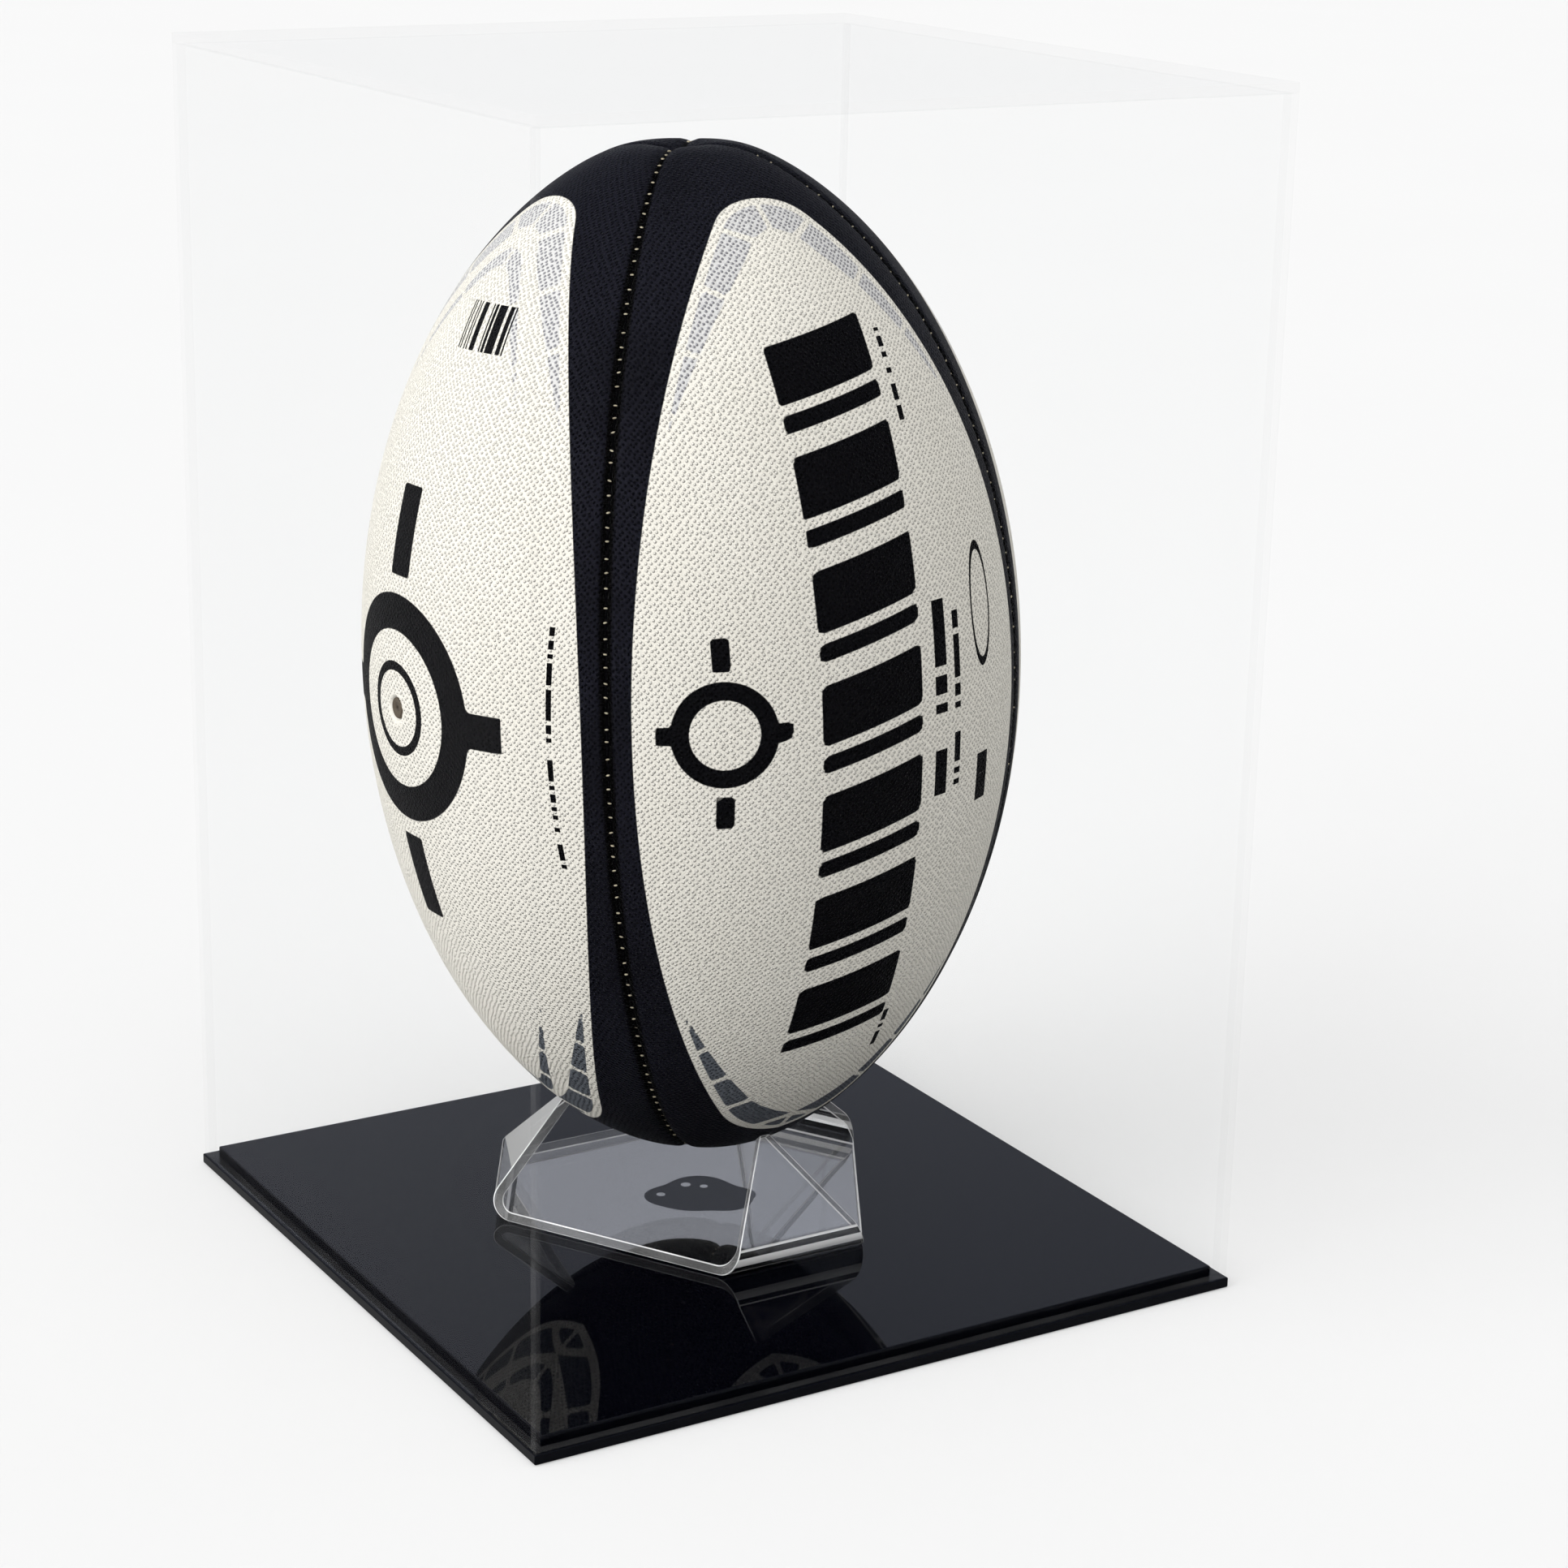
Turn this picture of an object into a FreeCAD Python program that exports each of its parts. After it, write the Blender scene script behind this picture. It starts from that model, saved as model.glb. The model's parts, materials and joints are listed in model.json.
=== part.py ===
"""Football display case: clear lift-off cover, stepped black base, bent acrylic stand and a four-panel ball.

Millimetres, +Z up. The origin is the centre of the base's underside; -Y is the front of the case.
"""
import FreeCAD
import Part
import Sketcher

import math
import os

DIMENSIONS = [
    # the base: a larger lower plate and a raised plate that the cover drops over
    ("plate_side", 225.0),
    ("plate_thick", 3.0),
    ("plate_round", 0.4),
    ("step_gap", 0.3),
    # the cover: five flat panels glued into an open-bottomed box
    ("cover_side", 224.0),
    ("cover_height", 341.0),
    ("panel_thick", 3.0),
    # the stand: an equilateral triangle of sheet with its three corners bent up and inwards
    ("stand_x", 4.0),
    ("stand_y", 8.0),
    ("sheet_thick", 3.0),
    ("sheet_inradius", 48.5),
    ("fold_distance", 54.5),
    ("bend_inner", 2.5),
    ("bend_turn", 130.0),
    ("flap_length", 30.75),
    ("flap_tip", 5.0),
    ("film_thick", 0.4),
    # the ball: a spheroid of four panels, long axis upright, leaning a little on the stand
    ("ball_radius", 94.3),
    ("ball_half", 147.0),
    ("ball_lift", 173.5),
    ("ball_lean", 2.2),
    ("ball_lean_towards", 150.0),
    ("ball_turn", 1.4),
    ("skin_thick", 2.2),
    ("pole_hole", 1.5),
    ("seam_turn", 1.4),
    ("seam_depth", 0.9),
    ("thread_thick", 1.0),
    ("bladder_gap", 0.6),
    ("bladder_thick", 0.7),
    ("valve_radius", 3.0),
    ("valve_length", 12.0),
    ("valve_gap", 0.15),
    ("valve_recess", 0.4),
]

doc = FreeCAD.newDocument("football_display_case")
sheet = doc.addObject("Spreadsheet::Sheet", "Dims")
for row, (alias, value) in enumerate(DIMENSIONS, start=1):
    sheet.set(f"A{row}", alias)
    sheet.set(f"B{row}", str(value))
    sheet.setAlias(f"B{row}", alias)
doc.recompute()

Z_AXIS = FreeCAD.Vector(0, 0, 1)
PANEL_SIDES = {"front": 270.0, "right": 0.0, "back": 90.0, "left": 180.0}
SEAM_SIDES = {"front_right": 315.0, "back_right": 45.0, "back_left": 135.0, "front_left": 225.0}
sub_parts = []


def dim(alias):
    return float(sheet.get(alias))


def bind(obj, **expressions):
    """Bind each property to an expression, where a bare alias reads the sheet."""
    for name, expression in expressions.items():
        for alias, _ in DIMENSIONS:
            expression = expression.replace(f"<{alias}>", f"Dims.{alias}")
        obj.setExpression(name, expression)
    return obj


def keep(obj, label):
    obj.Label = label
    sub_parts.append(obj)
    return obj


def primitive(kind, name, **expressions):
    return bind(doc.addObject(kind, name), **expressions)


def place(obj, base=(0, 0, 0), turn=0.0):
    obj.Placement = FreeCAD.Placement(FreeCAD.Vector(*base), FreeCAD.Rotation(Z_AXIS, turn))
    return obj


def cut(name, base, tool):
    result = doc.addObject("Part::Cut", name)
    result.Base = base
    result.Tool = tool
    return result


def fuse(name, shapes):
    result = doc.addObject("Part::MultiFuse", name)
    result.Shapes = shapes
    result.Refine = True
    return result


# ---------------------------------------------------------------- base plates
def square_sketch(body, name, side):
    """A square centred on the body's origin, its side bound to an expression."""
    sketch = body.newObject("Sketcher::SketchObject", name)
    plane = next(f for f in body.Origin.OriginFeatures if f.Role == "XY_Plane")
    sketch.AttachmentSupport = [(plane, "")]
    sketch.MapMode = "FlatFace"
    half = dim("plate_side") / 2
    corners = [FreeCAD.Vector(x * half, y * half, 0) for x, y in ((-1, -1), (1, -1), (1, 1), (-1, 1))]
    for index in range(4):
        sketch.addGeometry(Part.LineSegment(corners[index], corners[(index + 1) % 4]), False)
    for index in range(4):
        sketch.addConstraint(Sketcher.Constraint("Coincident", index, 2, (index + 1) % 4, 1))
    for index in (0, 2):
        sketch.addConstraint(Sketcher.Constraint("Horizontal", index))
    for index in (1, 3):
        sketch.addConstraint(Sketcher.Constraint("Vertical", index))
    sketch.addConstraint(Sketcher.Constraint("Symmetric", 0, 1, 1, 2, -1, 1))
    sketch.addConstraint(Sketcher.Constraint("Equal", 0, 1))
    sketch.addConstraint(Sketcher.Constraint("Distance", 0, 2 * half))
    sketch.renameConstraint(sketch.ConstraintCount - 1, "side")
    bind(sketch, **{"Constraints.side": side})
    return sketch


def base_plate(label, side, level):
    """A flat square plate with lightly rounded edges, its underside at the given level."""
    body = doc.addObject("PartDesign::Body", f"{label}_body")
    pad = body.newObject("PartDesign::Pad", f"{label}_pad")
    pad.Profile = square_sketch(body, f"{label}_outline", side)
    bind(pad, Length="<plate_thick>")
    doc.recompute()
    rounding = body.newObject("PartDesign::Fillet", f"{label}_rounding")
    rounding.Base = (pad, [f"Edge{n + 1}" for n in range(len(pad.Shape.Edges))])
    bind(rounding, Radius="<plate_round>")
    body.Tip = rounding
    body.Placement.Base.z = level
    return keep(body, label)


def build_base():
    base_plate("base_plate_lower", "<plate_side>", 0.0)
    raised = "<cover_side> - 2 * <panel_thick> - 2 * <step_gap>"
    base_plate("base_plate_raised", raised, dim("plate_thick"))


# ---------------------------------------------------------------- cover
def build_cover():
    """Front and back run the full width, the sides fit between them, and the top lies on all four."""
    bottom = dim("plate_thick")
    half = dim("cover_side") / 2
    inner = half - dim("panel_thick")
    wall_height = "<cover_height> - <panel_thick>"
    for label, y in (("cover_front_panel", -half), ("cover_back_panel", inner)):
        panel = primitive("Part::Box", label, Length="<cover_side>", Width="<panel_thick>", Height=wall_height)
        keep(place(panel, (-half, y, bottom)), label)
    for label, x in (("cover_left_panel", -half), ("cover_right_panel", inner)):
        between = "<cover_side> - 2 * <panel_thick>"
        panel = primitive("Part::Box", label, Length="<panel_thick>", Width=between, Height=wall_height)
        keep(place(panel, (x, -inner, bottom)), label)
    top = primitive("Part::Box", "cover_top_panel", Length="<cover_side>", Width="<cover_side>",
                    Height="<panel_thick>")
    top_level = bottom + dim("cover_height") - dim("panel_thick")
    keep(place(top, (-half, -half, top_level)), "cover_top_panel")


# ---------------------------------------------------------------- stand
def stand_level():
    return 2 * dim("plate_thick") + dim("film_thick")


def fold_half_width():
    """Half the sheet's width on the line where a bend starts."""
    return (2 * dim("sheet_inradius") - dim("fold_distance")) / math.sqrt(3)


def stand_flap(name, direction):
    """One bent-up corner: the round bend, then the straight tapering flap."""
    outer = dim("bend_inner") + dim("sheet_thick")
    half_width = fold_half_width()
    # local frame: X runs outwards from the stand's middle, Y along the fold, Z up
    outwards = FreeCAD.Placement(
        FreeCAD.Vector(dim("stand_x"), dim("stand_y"), stand_level()),
        FreeCAD.Rotation(Z_AXIS, direction))
    centre = FreeCAD.Vector(dim("fold_distance"), 0, outer)

    rim = primitive("Part::Cylinder", f"{name}_rim", Radius="<bend_inner> + <sheet_thick>", Angle="<bend_turn>")
    rim.Height = 2 * half_width
    core = primitive("Part::Cylinder", f"{name}_core", Radius="<bend_inner>")
    core.Height = 2 * half_width
    # the cylinder's own X points down and its own Y outwards, so its sector grows up and inwards
    lying = FreeCAD.Rotation(FreeCAD.Vector(0, 0, -1), FreeCAD.Vector(1, 0, 0), FreeCAD.Vector(0, -1, 0), "XYZ")
    axis = FreeCAD.Placement(centre + FreeCAD.Vector(0, half_width, 0), lying)
    for piece in (rim, core):
        piece.Placement = outwards.multiply(axis)
    bend = cut(f"{name}_bend", rim, core)

    turn = math.radians(dim("bend_turn"))
    start = centre + FreeCAD.Vector(math.sin(turn), 0, -math.cos(turn)) * outer
    wedge = primitive("Part::Wedge", f"{name}_taper", Ymax="<flap_length>", Zmax="<sheet_thick>",
                      X2min="-<flap_tip> / 2", X2max="<flap_tip> / 2", Z2max="<sheet_thick>")
    wedge.Ymin = 0
    wedge.Zmin = 0
    wedge.Z2min = 0
    wedge.Xmin = -half_width
    wedge.Xmax = half_width
    along = FreeCAD.Vector(math.cos(turn), 0, math.sin(turn))
    inwards = FreeCAD.Vector(-math.sin(turn), 0, math.cos(turn))
    upright = FreeCAD.Rotation(FreeCAD.Vector(0, 1, 0), along, inwards, "ZYX")
    wedge.Placement = outwards.multiply(FreeCAD.Placement(start, upright))
    return [bend, wedge]


def build_stand():
    floor_level = stand_level()
    blank = primitive("Part::Prism", "stand_blank", Circumradius="2 * <sheet_inradius>", Height="<sheet_thick>")
    trim = primitive("Part::Prism", "stand_trim", Circumradius="2 * <fold_distance>", Height="<sheet_thick>")
    for prism, turn in ((blank, 30.0), (trim, 90.0)):
        prism.Polygon = 3
        place(prism, (dim("stand_x"), dim("stand_y"), floor_level), turn)
    floor = doc.addObject("Part::Common", "stand_floor")
    floor.Base = blank
    floor.Tool = trim
    pieces = [floor]
    for index, direction in enumerate((30.0, 150.0, 270.0)):
        pieces += stand_flap(f"stand_flap_{index + 1}", direction)
    keep(fuse("ball_stand", pieces), "ball_stand")


def build_adhesive():
    """A patch of clear glue squeezed out unevenly under the stand's floor."""
    patches = []
    for index, (x, y, radius) in enumerate(((-4.0, -3.5, 10.5), (4.0, -7.0, 9.0), (2.0, 2.0, 9.5), (11.0, -8.5, 4.0))):
        disc = primitive("Part::Cylinder", f"glue_patch_{index + 1}", Height="<film_thick>")
        disc.Radius = radius
        patches.append(place(disc, (dim("stand_x") + x, dim("stand_y") + y, 2 * dim("plate_thick"))))
    keep(fuse("stand_adhesive", patches), "stand_adhesive")


# ---------------------------------------------------------------- ball
def ball_placement():
    """Where the ball's own frame rests: Z is the long axis, leaning about its lower end's centre of curvature."""
    towards = math.radians(dim("ball_lean_towards"))
    lean = math.radians(dim("ball_lean"))
    axis = FreeCAD.Vector(
        math.sin(lean) * math.cos(towards), math.sin(lean) * math.sin(towards), math.cos(lean))
    end_radius = dim("ball_radius") ** 2 / dim("ball_half")
    seat = FreeCAD.Vector(dim("stand_x"), dim("stand_y"), dim("ball_lift") - dim("ball_half") + end_radius)
    centre = seat + axis * (dim("ball_half") - end_radius)
    upright = FreeCAD.Rotation(Z_AXIS, axis)
    return FreeCAD.Placement(centre, upright.multiply(FreeCAD.Rotation(Z_AXIS, dim("ball_turn"))))


def half_ellipse(inset, hole):
    """The ball's outline in the XZ plane, set in, from the top pole's hole down to the bottom one."""
    across = dim("ball_radius") - inset
    along = dim("ball_half") - inset
    lying = Part.Ellipse(FreeCAD.Vector(0, 0, along), FreeCAD.Vector(across, 0, 0), FreeCAD.Vector(0, 0, 0))
    start = math.asin(hole / across)
    return Part.ArcOfEllipse(lying, start, math.pi - start).toShape()


def shell_sector(name, outer_inset, thickness, hole, sector, start):
    """A shell between two set-in outlines, turned about the long axis through a sector."""
    arcs = [half_ellipse(outer_inset, hole), half_ellipse(outer_inset + thickness, hole)]
    ends = [arc.Vertexes for arc in arcs]
    caps = [Part.LineSegment(ends[0][n].Point, ends[1][n].Point).toShape() for n in (0, 1)]
    profile = doc.addObject("Part::Feature", f"{name}_profile")
    profile.Shape = Part.Face(Part.Wire(Part.__sortEdges__(arcs + caps)))
    sector_solid = doc.addObject("Part::Revolution", f"{name}_sector")
    sector_solid.Source = profile
    sector_solid.Axis = Z_AXIS
    sector_solid.Solid = True
    bind(sector_solid, Angle=sector)
    return place(sector_solid, turn=start)


def ellipsoid(name, inset):
    """A whole spheroid in the ball's own frame, its surface set in from the ball's."""
    return primitive("Part::Ellipsoid", name, Radius1=f"<ball_half> - ({inset})",
                     Radius2=f"<ball_radius> - ({inset})")


def valve_cylinder(name, radius, length, recess):
    """A cylinder along the ball's own -X, its outer end set in from the surface."""
    cylinder = primitive("Part::Cylinder", name, Radius=radius, Height=length)
    inwards = FreeCAD.Rotation(Z_AXIS, FreeCAD.Vector(1, 0, 0))
    start = FreeCAD.Vector(-dim("ball_radius") + recess, 0, 0)
    cylinder.Placement = FreeCAD.Placement(start, inwards)
    return cylinder


def keep_ball_piece(piece, label):
    """Move a piece from the ball's own frame to where the ball rests."""
    piece.Placement = ball_placement().multiply(piece.Placement)
    return keep(piece, label)


def build_ball():
    half_seam = dim("seam_turn") / 2
    hole_radius = "<valve_radius> + <valve_gap>"
    for side, middle in PANEL_SIDES.items():
        name = f"ball_panel_{side}"
        start = middle - 45.0 + half_seam
        panel = shell_sector(name, 0.0, dim("skin_thick"), dim("pole_hole"), "90 - <seam_turn>", start)
        if side == "left":
            hole = valve_cylinder("valve_hole", hole_radius, "4 * <skin_thick>", -dim("skin_thick"))
            panel = cut("ball_panel_left_pierced", panel, hole)
        keep_ball_piece(panel, name)
    for side, middle in SEAM_SIDES.items():
        name = f"seam_thread_{side}"
        start = middle - half_seam
        thread = shell_sector(name, dim("seam_depth"), dim("thread_thick"), dim("pole_hole"), "<seam_turn>", start)
        keep_ball_piece(thread, name)
    outer = "<skin_thick> + <bladder_gap>"
    bladder = cut("bladder_shell", ellipsoid("bladder_outside", outer),
                  ellipsoid("bladder_inside", f"{outer} + <bladder_thick>"))
    neck = valve_cylinder("bladder_hole", hole_radius, "6 * <skin_thick>", 0.0)
    keep_ball_piece(cut("bladder_pierced", bladder, neck), "ball_bladder")
    valve = valve_cylinder("valve_plug", "<valve_radius>", "<valve_length>", dim("valve_recess"))
    keep_ball_piece(valve, "ball_valve")


def export_all():
    doc.recompute()
    failed = [o.Name for o in doc.Objects if {"Invalid", "Error"} & set(o.State)]
    if failed:
        raise RuntimeError(f"failed objects: {failed}")
    for obj in sub_parts:
        if obj.Shape.isNull() or not obj.Shape.isValid() or not obj.Shape.Solids:
            raise RuntimeError(f"bad shape: {obj.Label}")
    os.makedirs("parts", exist_ok=True)
    for obj in sub_parts:
        obj.Shape.exportStep(f"parts/{obj.Label}.step")
        print(f"{obj.Label:28s} {obj.Shape.Volume:12.1f} mm3  {len(obj.Shape.Solids)} solid")


build_base()
build_cover()
build_stand()
build_adhesive()
build_ball()
export_all()
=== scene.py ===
"""Looks of the football display case: an oval ball on a bent clear stand, a black base and a clear cover.

The CAD frame is in metres: +Z up, -Y the front of the case. Lengths named here are millimetres.
"""

import json
import math

import bmesh
import bpy
import numpy as np
from mathutils import Matrix, Vector


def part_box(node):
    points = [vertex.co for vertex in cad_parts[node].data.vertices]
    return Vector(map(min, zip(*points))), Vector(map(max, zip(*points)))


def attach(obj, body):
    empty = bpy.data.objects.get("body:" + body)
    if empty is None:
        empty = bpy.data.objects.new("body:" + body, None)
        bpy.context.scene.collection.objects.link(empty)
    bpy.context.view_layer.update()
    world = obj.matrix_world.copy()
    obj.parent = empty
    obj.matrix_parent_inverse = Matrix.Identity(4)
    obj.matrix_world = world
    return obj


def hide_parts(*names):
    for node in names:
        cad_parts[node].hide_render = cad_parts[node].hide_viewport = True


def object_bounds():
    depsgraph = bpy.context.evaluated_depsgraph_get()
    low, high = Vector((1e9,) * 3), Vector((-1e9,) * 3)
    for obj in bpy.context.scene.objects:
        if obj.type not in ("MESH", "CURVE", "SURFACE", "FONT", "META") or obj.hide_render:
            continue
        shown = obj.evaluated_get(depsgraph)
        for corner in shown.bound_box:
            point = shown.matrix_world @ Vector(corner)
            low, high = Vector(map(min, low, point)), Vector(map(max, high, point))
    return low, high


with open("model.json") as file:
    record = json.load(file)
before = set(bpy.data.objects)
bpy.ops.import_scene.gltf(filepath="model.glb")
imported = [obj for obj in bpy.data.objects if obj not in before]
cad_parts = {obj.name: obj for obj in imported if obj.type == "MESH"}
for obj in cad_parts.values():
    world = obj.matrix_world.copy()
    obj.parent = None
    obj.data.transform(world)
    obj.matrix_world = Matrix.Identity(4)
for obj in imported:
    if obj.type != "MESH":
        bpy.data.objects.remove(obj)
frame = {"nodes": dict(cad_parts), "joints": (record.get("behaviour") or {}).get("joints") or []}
cad_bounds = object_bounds()

MM = 0.001

# the camera, which stands off the object's origin along its view and is moved sideways and up
CAMERA_AZIMUTH = math.radians(-31.381)
CAMERA_ELEVATION = math.radians(16.975)
CAMERA_ROLL = math.radians(1.216)
CAMERA_DISTANCE = 1052.3
CAMERA_SIDEWAYS = 25.76
CAMERA_RISE = 131.49
CAMERA_LENS = 80.57

# light levels, linear; mirrors see the backdrop fade to the studio between two heights of their view
BACKDROP = (0.985, 0.985, 0.985, 1)
MIRRORED_STUDIO = (0.525, 0.555, 0.65, 1)
MIRRORED_FADE = (0.05, 0.22)
FILL_LIGHT = (0.80, 0.80, 0.80, 1)
FLOOR_BRIGHTENING = 0.36
FLOOR_RADIUS = 9.0

# the ball's outline, a superellipse in its own frame, flattened and dimpled at its poles
BALL_TURN = math.radians(1.4)
BALL_ACROSS, BALL_ACROSS_POWER = 94.4, 1.807
BALL_ALONG, BALL_ALONG_POWER = 149.2, 2.034
POLE_FLAT, POLE_SOFTNESS = 146.6, 1.2
POLE_DIMPLE, POLE_DIMPLE_WIDTH = 2.6, 6.0
PANEL_BULGE = 0.5
SEAM_DEPTH, SEAM_SOFTNESS, SEAM_PUCKER = 2.0, 3.2, 0.45
SEAM_HALF_WIDTH, SEAM_ROWS = 1.5, 204
SKIN_THICKNESS, BLADDER_DEPTH = 1.5, 5.0
PANEL_MIDDLES = {"front": 270.0, "right": 0.0, "back": 90.0, "left": 180.0}
SEAMS = {"front_right": 315.0, "back_right": 45.0, "back_left": 135.0, "front_left": 225.0}
HALF_PANEL = math.pi / 4
PANEL_COLUMNS, PANEL_ROWS = 97, 301
BLADDER_SIDES, BLADDER_ROWS = 64, 81

# how far the pieces of the ball stop short of its poles along the skin
PANEL_END, SEAM_END, BLADDER_END = 0.4, 0.3, 1.0
FIRST_STITCH, LAST_STITCH = 12.0, 10.0

# radii of the ball below which the panels bulge less, and the painted shade along a seam narrows to this
# share
BULGE_RADIUS, SEAM_SHADE_RADIUS, SEAM_SHADE_LEAST = 50, 60, 0.45

# the valve's hole in the left panel, and the reach and step of the finer grid round it
VALVE_HOLE, VALVE_HOLE_SLOPE, VALVE_HOLE_DEPTH, SMOOTH_ROUND_VALVE = 3.7, 0.7, 1.6, 4.0
FINE_COLUMNS, FINE_ROWS = (0.045, 0.005), (6.0, 0.5)

# the ball's print: the pale window of each panel and its segmented borders
WINDOW_MARGIN, WINDOW_MARGIN_GROWTH = 7.0, 7.6e-4
WINDOW_TOP, WINDOW_TOP_ROUND = 134.5, 7.6
WINDOW_BOTTOM, WINDOW_BOTTOM_ROUND = -133.0, 18.7
ARCH_ROUND = 4.0
BAND_RIM, BAND_WIDTH, BAND_START, BAND_RIB = 2.3, 7.8, 78.0, 0.8
TOP_BAND_STEP, BOTTOM_BAND_STEP = 18.0, 14.0
BAR_COUNT, BAR_LOWEST, BAR_HIGHEST = 7, -96.0, 106.0
BAR_SLANT, BAR_HALF_WIDTH = 0.22, 16.0
THICK_BAR, THIN_BAR = (3.2, 8.2), (-10.2, 2.4)
SMALL_RING_ACROSS, SMALL_RING_ALONG = -42.5, 3.0
PRINT_BLUR = 0.15
PIMPLE_STEP = 1.3

# the stitches, beads of thread across the seams
STITCH_STEP, STITCH_DEPTH = 4.1, 0.85
STITCH_HALF_LENGTH, STITCH_THICKNESS = 0.50, 0.24

# the stand's sheet, and the painted white reflections in its bends as their middles and half widths
SHEET_INRADIUS, FOLD_DISTANCE, FLAP_LENGTH = 48.5, 54.5, 30.75
BEND_INNER, BEND_TURN, BEND_ROWS = 2.5, math.radians(130), 12
FLAP_DIRECTIONS = (30.0, 150.0, 270.0)
PAINTED_BEND_REFLECTIONS = ((0.14, 0.035), (0.62, 0.10), (0.90, 0.03))
STAND_ROUNDING, COVER_ROUNDING, COVER_GAP = 0.28, 0.22, 0.03

# the patches that the glue was squeezed out from and its bubbles: x and y from the stand's middle, radius
LARGE_GLUE_PATCHES = ((-4.0, -3.5, 10.5), (4.0, -7.0, 9.0), (2.0, 2.0, 9.5))
SMALL_GLUE_PATCHES = ((11.0, -8.5, 4.0), (-10.0, 1.0, 7.0), (4.5, -11.5, 6.5))
GLUE_PATCHES = LARGE_GLUE_PATCHES + SMALL_GLUE_PATCHES
GLUE_REACH = 0.88
GLUE_RAY = (1.0, 26.0)
GLUE_BUBBLES = ((-0.6, 5.7, 1.5), (3.6, 2.0, 1.2), (-10.8, 2.9, 1.3))


# ---------------------------------------------------------------- node trees
class Nodes:
    """A new material or world and short calls for the nodes in it.
    A value is a number, a colour or another node's output."""

    def __init__(self, name, kind="materials"):
        self.owner = getattr(bpy.data, kind).new(name)
        self.owner.use_nodes = True
        self.tree = self.owner.node_tree
        self.tree.nodes.clear()

    def add(self, kind, **settings):
        node = self.tree.nodes.new(kind)
        for key, value in settings.items():
            setattr(node, key, value)
        return node

    def put(self, socket, value):
        if isinstance(value, bpy.types.NodeSocket):
            self.tree.links.new(value, socket)
        else:
            socket.default_value = value

    def fill(self, node, **values):
        for name, value in values.items():
            self.put(node.inputs[name.replace("_", " ")], value)
        return node

    def maths(self, operation, *values):
        node = self.add("ShaderNodeMath", operation=operation)
        for socket, value in zip(node.inputs, values):
            self.put(socket, value)
        return node.outputs[0]

    def mix(self, factor, first, second):
        node = self.add("ShaderNodeMix", data_type="RGBA")
        for index, value in ((0, factor), (6, first), (7, second)):
            self.put(node.inputs[index], value)
        return node.outputs[2]

    def attribute(self, name):
        return self.add("ShaderNodeAttribute", attribute_name=name).outputs["Fac"]

    def ramp(self, value, low, high, bottom=0.0, top=1.0):
        """The value taken from low..high to bottom..top, eased and held at both ends."""
        node = self.add("ShaderNodeMapRange", interpolation_type="SMOOTHSTEP")
        for socket, number in zip(node.inputs, (value, low, high, bottom, top)):
            self.put(socket, number)
        return node.outputs[0]

    def position(self):
        return self.add("ShaderNodeTexCoord").outputs["Object"]

    def noise(self, scale, detail=2.0):
        node = self.add("ShaderNodeTexNoise")
        return self.fill(node, Vector=self.position(), Scale=scale, Detail=detail).outputs["Fac"]

    def bump(self, height, distance, strength=1.0):
        node = self.add("ShaderNodeBump")
        return self.fill(node, Height=height, Distance=distance, Strength=strength).outputs[0]

    def principled(self, **values):
        return self.fill(self.add("ShaderNodeBsdfPrincipled"), **values).outputs[0]

    def finish(self, shader, output="ShaderNodeOutputMaterial"):
        self.put(self.add(output).inputs["Surface"], shader)
        return self.owner

    def clear(self, head_on, grazing, roughness, tint, gloss=(0.8, 0.8, 0.8, 1), hidden=None, normal=None):
        """A see-through surface: transparent, with a share of gloss that grows from head on to grazing.
        The share is the same from both sides of the sheet, and `hidden` can take it away."""
        facing = self.fill(self.add("ShaderNodeLayerWeight"), Blend=0.5).outputs["Facing"]
        factor = self.maths("MULTIPLY_ADD", self.maths("POWER", facing, 5.0), grazing, head_on)
        if hidden:
            factor = self.maths("MULTIPLY", factor, self.maths("SUBTRACT", 1.0, hidden))
        glossy = self.fill(self.add("ShaderNodeBsdfGlossy"), Color=gloss, Roughness=roughness)
        if normal:
            self.put(glossy.inputs["Normal"], normal)
        return self.laid_over(factor, tint, glossy.outputs[0])

    def laid_over(self, factor, tint, shader):
        """A share of one shader over a tinted see-through one."""
        through = self.fill(self.add("ShaderNodeBsdfTransparent"), Color=tint)
        return self.blend(factor, through.outputs[0], shader)

    def blend(self, factor, first, second):
        """The first shader, replaced by the second to the extent of the factor."""
        both = self.add("ShaderNodeMixShader")
        for socket, value in zip(both.inputs, (factor, first, second)):
            self.put(socket, value)
        return both.outputs[0]


def grey(level):
    return (level, level, level, 1.0)


# ---------------------------------------------------------------- materials
def black_acrylic():
    """Polished black sheet: a weak mirror with a faint dust and the long waves of extruded sheet."""
    nodes = Nodes("black_acrylic")
    dust = nodes.ramp(nodes.noise(2600.0, detail=1.0), 0.70, 0.80, 0.0, 0.06)
    colour = nodes.mix(dust, (0.0003, 0.0004, 0.0012, 1), (0.04, 0.04, 0.045, 1))
    roughness = nodes.ramp(nodes.noise(35.0), 0.35, 0.70, 0.015, 0.035)
    waves = nodes.bump(nodes.noise(14.0, detail=1.0), 0.00006, 0.3)
    return nodes.finish(nodes.principled(
        Base_Color=colour, Roughness=roughness, IOR=1.20, Specular_Tint=(0.80, 0.85, 1.0, 1), Normal=waves))


def clear_face(name, head_on, grazing):
    """The polished face of clear sheet, with the faintest waviness."""
    nodes = Nodes(name)
    waves = nodes.bump(nodes.noise(18.0, detail=1.0), 0.00004, 0.3)
    return nodes.finish(nodes.clear(head_on, grazing, 0.01, (0.996, 0.997, 0.997, 1), normal=waves))


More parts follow.
